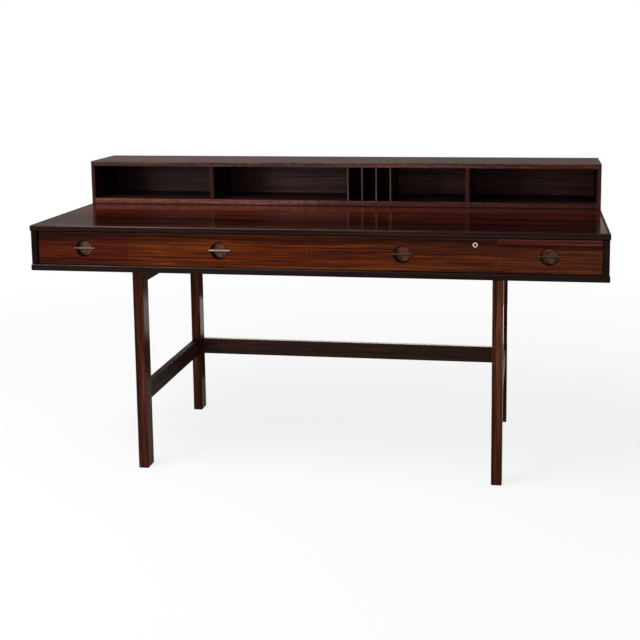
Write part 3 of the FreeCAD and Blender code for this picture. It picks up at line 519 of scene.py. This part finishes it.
def front_end_highlights(finish):
    """Thin lippings at both ends of each drawer front, painted pale as an arris highlight."""
    ends = 0.0
    for number in DRAWERS:
        low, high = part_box(f"drawer_{number}_front")
        for left, right in ((low.x, low.x + FRONT_LIPPING), (high.x - FRONT_LIPPING, high.x)):
            end = finish.math("MULTIPLY", finish.over("X", left - END_MARGIN), finish.under("X", right))
            ends = finish.math("ADD", ends, end)
    return ends


def front_top_highlight(finish):
    """The upper arris of the drawer fronts, painted pale as a highlight."""
    return finish.over("Z", FRONTS_HIGH - FRONT_TOP)


def painted_contact_shadow(finish):
    """The organizer's lower front arris, darkened as a painted shadow of the gap above the desktop."""
    arris = finish.under("Z", ORGANIZER_LOW.z + CONTACT_SHADOW)
    return finish.math("MULTIPLY", arris, shelf_lipping(finish))


def painted_joint_shadow(finish):
    """The edging's lower arris, darkened as a painted shadow of the joint above the drawers."""
    return finish.under("Z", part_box("desktop_edging")[0].z + JOINT_SHADOW)


def worn_highlight(finish, arris, worn, kept):
    """Wear in patches on an arris and a painted highlight on it, from its bright left to its faded
    right.
    """
    patches = finish.spread(finish.pattern(finish.place, "X", *WEAR), *WEAR_STEPS, LEAST_WEAR, 1.0)
    fade = finish.spread(finish.axis["X"], worn, kept, 1.0, KEPT_WEAR)
    return finish.math("MULTIPLY", arris, finish.math("MULTIPLY", patches, fade))


def top_arris(finish):
    """The edging's upper front arris, with wear and a painted highlight, less bright at its left end.
    """
    front = finish.under("Y", DESK_FRONT + TOP_ARRIS)
    arris = finish.math("MULTIPLY", front, finish.over("Z", DESK_TOP - TOP_ARRIS))
    left = finish.spread(finish.axis["X"], LEFT_END, LEFT_END_FADE, LEFT_END_WEAR, 1.0)
    return finish.math("MULTIPLY", left, worn_highlight(finish, arris, TOP_WORN, TOP_KEPT))


def bottom_arris(finish):
    """The upper front arris of the case's bottom, under the drawers, with wear and a painted highlight.
    """
    front = finish.under("Y", DESK_FRONT + BOTTOM_ARRIS)
    arris = finish.math("MULTIPLY", front, finish.over("Z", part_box("case_bottom")[1].z - ARRIS / 2))
    return worn_highlight(finish, arris, BOTTOM_WORN, BOTTOM_KEPT)


def metal(name, tones, roughness, metallic=1.0, stain_and_shade=None):
    """Aged metal with clouds and fine rubbing marks. Its darkening mask gives dark patina in the cups
    and grime on the lock, and painted shade on and under the bars.
    """
    finish = Finish(name)
    clouds = finish.pattern(finish.place, "X", *CLOUDS)
    rubs = finish.pattern(finish.place, "X", *RUBS)
    colour = finish.ramp(clouds, tuple(zip(CLOUD_STEPS, tones)))
    if stain_and_shade:
        colour = finish.mix(stain_and_shade(finish), colour, STAIN_AND_SHADE_TONE)
    smoothest, roughest = roughness - RUB_ROUGHNESS, roughness + RUB_ROUGHNESS
    finish.surface(
        Base_Color=colour,
        Metallic=metallic,
        Roughness=finish.spread(rubs, *NOISE_RANGE, smoothest, roughest),
        Specular_IOR_Level=0.03,
        Normal=finish.bump(rubs, RUB_DEPTH),
    )
    return finish


# Masks for stains on the metal
def cup_patina_and_bar_shadow(finish):
    """Dark patina on the wall of a pull's cup, and in part a painted shadow of the bar on the floor
    under it.
    """
    low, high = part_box("drawer_1_pull_cup")
    wall = finish.under("Y", high.y - CUP_FLOOR, CUP_FADE)
    lower_half = finish.under("Z", (low.z + high.z) / 2, BAR_SHADE_EDGE)
    return finish.math("MAXIMUM", wall, finish.math("MULTIPLY", lower_half, BAR_SHADOW_SHARE))


def painted_bar_shade(finish):
    """The lower side of a pull's bar, darkened as painted shade."""
    low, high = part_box("drawer_1_pull_bar")
    return finish.under("Z", (low.z + high.z) / 2 - BAR_SHADE_EDGE, BAR_SHADE_EDGE)


def lock_grime(finish):
    """Grime along the rim of the lock's ring."""
    low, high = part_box("lock_plug")
    reach = finish.reach(tuple((low + high) / 2), (1.0, 0.0, 1.0))
    ring_low, ring_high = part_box("lock_body")
    rim = (ring_high.x - ring_low.x) / 2
    return finish.spread(reach, rim - 2 * GRIME, rim - GRIME)


def dress(finish, *names):
    """Gives a finish to CAD nodes."""
    for name in names:
        mesh = NODES[name].data
        mesh.materials.clear()
        mesh.materials.append(finish.material)


def each_drawer(*pieces):
    """Names of the given pieces of every drawer."""
    return [f"drawer_{number}_{piece}" for number in DRAWERS for piece in pieces]


# Wood of the case and desktop
FRONT_ZONES = ((front_top_highlight, FRONT_TOP_HIGHLIGHT_TONES, WAXED), (front_end_highlights, FRONT_END_HIGHLIGHT_TONES, WAXED))
FRONT_TINTS = (flitch_and_light_tint, overhang_shadow_tint, red_streak, painted_cup_shadows)
DESKTOP_TINTS = (top_depth, top_length)
CASE_ZONES = ((case_lipping, EDGE_TONES, SATIN),)
EDGING_ZONES = ((painted_joint_shadow, PAINTED_SHADOW_TONES, MATT), (top_arris, WORN_HIGHLIGHT_TONES, SATIN))
CASE_BOTTOM_ZONES = ((bottom_arris, WORN_HIGHLIGHT_TONES, SATIN),)
dress(rosewood("fronts", "X", FRONT_TONES, zones=FRONT_ZONES, tints=FRONT_TINTS), *each_drawer("front"))
dress(rosewood("desktop", "X", TOP_TONES, roughness=0.09, specular=0.3, tints=DESKTOP_TINTS,
               relief=LACQUERED_PORES),
      "desktop_panel")
dress(rosewood("case", "Y", FRAME_TONES, zones=CASE_ZONES, tints=(stile_tint,)),
      "case_left_side", "case_right_side")
dress(rosewood("dark_edge", "X", EDGING_TONES, zones=EDGING_ZONES), "desktop_edging")
dress(rosewood("dark_bottom", "X", EDGE_TONES, zones=CASE_BOTTOM_ZONES), "case_bottom")
dress(rosewood("case_rear", "X", FRAME_TONES), "case_back")

# Wood of the organizer
TOP_ZONES = ((outside, SHELF_TONES, POLISHED), (shelf_lipping, SHELF_TONES, SATIN))
BOTTOM_ZONES = (
    (shelf_lipping, LIPPING_TONES, SATIN),
    (shelf_underside, TOP_TONES, GLOSSY),
    (painted_contact_shadow, BAY_SHADE_TONES, MATT),
)
SIDE_ZONES = ((outside, SHELF_TONES, WAXED), (shelf_lipping, SHELF_TONES, SATIN))
DIVIDER_ZONES = ((shelf_lipping, SHELF_TONES, SATIN),)
PARTITION_ZONES = ((shelf_lipping, PARTITION_TONES, SATIN),)
dress(rosewood("shelf_top", "X", INSIDE_TONES, SATIN, specular=0.12, zones=TOP_ZONES,
               tints=(rail_length, flecks), relief=LACQUERED_PORES),
      "organizer_top")
dress(rosewood("shelf_bottom", "X", BAY_SHADE_TONES, SATIN, specular=0.1, zones=BOTTOM_ZONES,
               tints=(shelf_length, flecks)),
      "organizer_bottom")
dress(rosewood("shelf_back", "X", INSIDE_TONES, DULL, specular=0.1, tints=(painted_bay_light,)),
      "organizer_back")
dress(rosewood("shelf_sides", "Z", BAY_SHADE_TONES, SATIN, specular=0.05, zones=SIDE_ZONES),
      "organizer_left_side", "organizer_right_side")
dress(rosewood("shelf_dividers", "Z", BAY_SHADE_TONES, SATIN, specular=0.05, zones=DIVIDER_ZONES),
      "organizer_dividers")
dress(rosewood("partitions", "Z", BAY_SHADE_TONES, SATIN, specular=0.05, zones=PARTITION_ZONES),
      "letter_partitions")

# Wood of the leg frame and the drawer boxes
dress(rosewood("legs", "Z", FRAME_TONES, SMOOTH, specular=0.010, tints=(leg_depth,)),
      "front_left_leg", "rear_left_leg", "rear_right_leg")
dress(rosewood("pale_leg", "Z", FRAME_TONES, SMOOTH, specular=0.005, tints=(leg_painted_light,)),
      "front_right_leg")
dress(rosewood("side_bars", "Y", REAR_FRAME_TONES, WAXED, specular=0.008),
      "left_side_stretcher", "right_side_stretcher", "left_top_rail", "right_top_rail")
dress(rosewood("stretcher", "X", REAR_FRAME_TONES, SMOOTH, specular=0.07), "long_stretcher")
dress(rosewood("lining_along_x", "X", LINING_TONES, MATT, specular=0.3), *each_drawer("back"))
dress(rosewood("lining_along_y", "Y", LINING_TONES, MATT, specular=0.3),
      "case_dividers", "drawer_runners", *each_drawer("sides", "bottom"))

# Fittings
dress(metal("cup_bronze", CUP_TONES, DULL, metallic=0.25, stain_and_shade=cup_patina_and_bar_shadow), *each_drawer("pull_cup"))
dress(metal("dull_brass", DULL_BRASS_TONES, SATIN, metallic=0.4, stain_and_shade=painted_bar_shade),
      "drawer_1_pull_bar")
dress(metal("bar_brass", BRASS_TONES, SATIN, metallic=0.4, stain_and_shade=painted_bar_shade),
      "drawer_2_pull_bar")
dress(metal("bar_bronze", BRONZE_TONES, SATIN, metallic=0.3, stain_and_shade=painted_bar_shade),
      "drawer_3_pull_bar", "drawer_4_pull_bar")
dress(metal("nickel", NICKEL_TONES, POLISHED), "lock_cam", "lock_strike")
dress(metal("lock_nickel", RING_TONES, POLISHED, stain_and_shade=lock_grime), "lock_body")
dress(metal("plug_brass", PLUG_TONES, DULL, metallic=0.4), "lock_plug")
dress(metal("hinge_brass", HINGE_TONES, WAXED),
      "hinge_desk_leaves", "hinge_desk_screws", "hinge_organizer_leaves", "hinge_organizer_screws",
      "hinge_pins")
dress(metal("steel", STEEL_TONES, SATIN), "frame_screws")

# Softened arrises of plain boards
BOARD_ARRIS = 0.0008
THIN_ARRIS = 0.0006
ARRIS_SEGMENTS = 3
SHARP_ANGLE = math.radians(40)
SAME_POINT = 0.00001


def soften(width, *names):
    """Takes the sharp arrises off plain boards."""
    for name in names:
        weld = NODES[name].modifiers.new("weld", "WELD")
        weld.merge_threshold = SAME_POINT
        bevel = NODES[name].modifiers.new("arris", "BEVEL")
        bevel.width = width
        bevel.segments = ARRIS_SEGMENTS
        bevel.limit_method = "ANGLE"
        bevel.angle_limit = SHARP_ANGLE
        bevel.harden_normals = True


soften(BOARD_ARRIS, "case_left_side", "case_right_side", "case_bottom", "case_dividers", "case_back")
soften(BOARD_ARRIS, "drawer_runners", *each_drawer("sides", "back"))
soften(THIN_ARRIS, *each_drawer("front", "bottom"))
soften(THIN_ARRIS, "organizer_dividers", "letter_partitions", "organizer_back")


def stage_sheet(name, corners):
    """A flat sheet of the set, which isn't part of the desk."""
    mesh = bpy.data.meshes.new(name)
    mesh.from_pydata(corners, [], [(0, 1, 2, 3)])
    sheet = bpy.data.objects.new(name, mesh)
    bpy.context.scene.collection.objects.link(sheet)
    return sheet


# Floor, white where the camera sees it, apart from the desk's shadow
FLOOR_HALF = 30.0
FLOOR_PAINT = (0.85, 0.85, 0.85)
FLOOR_ROUGHNESS = 0.9
FLOOR_WHITE = 0.84
SHADOW_NEAR, SHADOW_FAR = 1.0, 3.0


def pale_floor():
    """Pale paint that takes the desk's shadow near the desk, and plain white further away."""
    finish = Finish("pale_floor")
    finish.surface(Base_Color=FLOOR_PAINT, Roughness=FLOOR_ROUGHNESS, Specular_IOR_Level=0.0)
    distance = finish.reach((0.0, 0.0, 0.0))
    white = finish.spread(distance, SHADOW_NEAR, SHADOW_FAR, FLOOR_WHITE, 1.0)
    glow = finish.node("Emission")
    blend = finish.node("MixShader")
    finish.feed(blend.inputs["Fac"], finish.math("MULTIPLY", finish.shows_surroundings(), white))
    finish.feed(blend.inputs[1], finish.shader.outputs["BSDF"])
    finish.feed(blend.inputs[2], glow.outputs["Emission"])
    finish.feed(finish.tree.nodes["Material Output"].inputs["Surface"], blend.outputs["Shader"])
    return finish.material


floor = stage_sheet("floor", ((-FLOOR_HALF, -FLOOR_HALF, 0), (FLOOR_HALF, -FLOOR_HALF, 0),
                              (FLOOR_HALF, FLOOR_HALF, 0), (-FLOOR_HALF, FLOOR_HALF, 0)))
floor.data.materials.append(pale_floor())

# Cards behind the desk, which show only in its polish: the glowing ones give painted reflections of
# glare and sheen, the dark ones keep reflections dark
NEAR, MIDDLE, FAR = 0.65, 1.1, 2.0
FULL_WIDTH = (-6.0, 6.0)
LEFT_LEGS = (-1.5, 0.3)
LONG_BAR = (-1.0, 0.5)
LEFT_PART = (-6.0, DESK_RIGHT)
RIGHT_PART = (DESK_RIGHT, 6.0)
LEG_GLARE = 0.165
LOW_SHEEN, MIDDLE_SHEEN, HIGH_SHEEN = 0.70, 0.84, 0.885
ROSE = (1.0, 0.72, 0.65)
WARM = (1.0, 0.92, 0.86)
WHITE = (1.0, 0.98, 0.95)
DARK = (0.0, 0.0)


def card(name, behind, sides, heights, colour, glows):
    """An upright sheet between two heights, with a glow at each."""
    left, right = sides
    low, high = heights
    sheet = stage_sheet(name, ((left, behind, low), (right, behind, low),
                               (right, behind, high), (left, behind, high)))
    sheet.visible_camera = False
    sheet.visible_diffuse = False
    sheet.visible_shadow = False
    sheet.visible_transmission = False
    finish = Finish(name)
    glow = finish.spread(finish.axis["Z"], low, high, *glows)
    finish.surface(Base_Color=(0.0, 0.0, 0.0), Emission_Color=colour, Emission_Strength=glow)
    sheet.data.materials.append(finish.material)


card("dark_low_card", NEAR, LEFT_LEGS, heights=(0.0, LEG_GLARE), colour=WHITE, glows=DARK)
card("dark_card", MIDDLE, LEFT_LEGS, heights=(0.19, 0.42), colour=WHITE, glows=DARK)
card("leg_card", NEAR, FULL_WIDTH, heights=(LEG_GLARE, 0.305), colour=WHITE, glows=(3.2, 3.2))
card("stretcher_card", FAR, LONG_BAR, heights=(0.55, 0.80), colour=WHITE, glows=(7.0, 7.0))
card("low_card", NEAR, LEFT_PART, heights=(LOW_SHEEN, MIDDLE_SHEEN), colour=ROSE, glows=(0.42, 0.05))
card("middle_card", NEAR, LEFT_PART, heights=(MIDDLE_SHEEN, HIGH_SHEEN), colour=ROSE, glows=(0.03, 0.0))
card("right_card", NEAR, RIGHT_PART, heights=(LOW_SHEEN, HIGH_SHEEN), colour=ROSE, glows=(0.9, 0.2))
card("high_card", NEAR, FULL_WIDTH, heights=(HIGH_SHEEN, 2.4), colour=WARM, glows=(0.26, 0.26))

# Light
AMBIENT = 0.3
LIT_PLACE = Vector((0.0, 0.0, 0.6))
world = bpy.data.worlds.new("studio")
world.use_nodes = True
bpy.context.scene.world = world
studio = Graph(world.node_tree)
background = world.node_tree.nodes["Background"]
strength = studio.spread(studio.shows_surroundings(), 0.0, 1.0, AMBIENT, 1.0)
studio.feed(background.inputs["Color"], (1.0, 1.0, 1.0))
studio.feed(background.inputs["Strength"], strength)


def softbox(name, place, width, height, power):
    """An area light that faces the middle of the desk."""
    light = bpy.data.lights.new(name, "AREA")
    light.shape = "RECTANGLE"
    light.size = width
    light.size_y = height
    light.energy = power
    lamp = bpy.data.objects.new(name, light)
    lamp.location = place
    lamp.rotation_euler = (LIT_PLACE - lamp.location).to_track_quat("-Z", "Y").to_euler()
    bpy.context.scene.collection.objects.link(lamp)


softbox("overhead", place=(-1.4, -1.3, 3.2), width=2.2, height=1.4, power=105.0)
softbox("front_left", place=(-3.0, -3.5, 1.4), width=1.5, height=1.5, power=60.0)

# Camera, with its lens in millimetres and its angles in degrees
LENS, SENSOR = 64.72, 36.0
SHIFT_X, SHIFT_Y = -0.0416, -0.1695
CAMERA_PLACE = (0.5974, -3.3845, 1.2033)
HEADING, TILT, ROLL = 9.2, 82.04, -0.548
lens = bpy.data.cameras.new("camera")
lens.lens = LENS
lens.sensor_width = SENSOR
lens.shift_x = SHIFT_X
lens.shift_y = SHIFT_Y
camera = bpy.data.objects.new("camera", lens)
camera.location = CAMERA_PLACE
heading = Euler((0.0, 0.0, math.radians(HEADING))).to_matrix()
tilt = Euler((math.radians(TILT), 0.0, 0.0)).to_matrix()
roll = Euler((0.0, 0.0, math.radians(ROLL))).to_matrix()
camera.rotation_euler = (heading @ tilt @ roll).to_euler()
bpy.context.scene.collection.objects.link(camera)
bpy.context.scene.camera = camera
bpy.context.scene.view_settings.view_transform = "Standard"
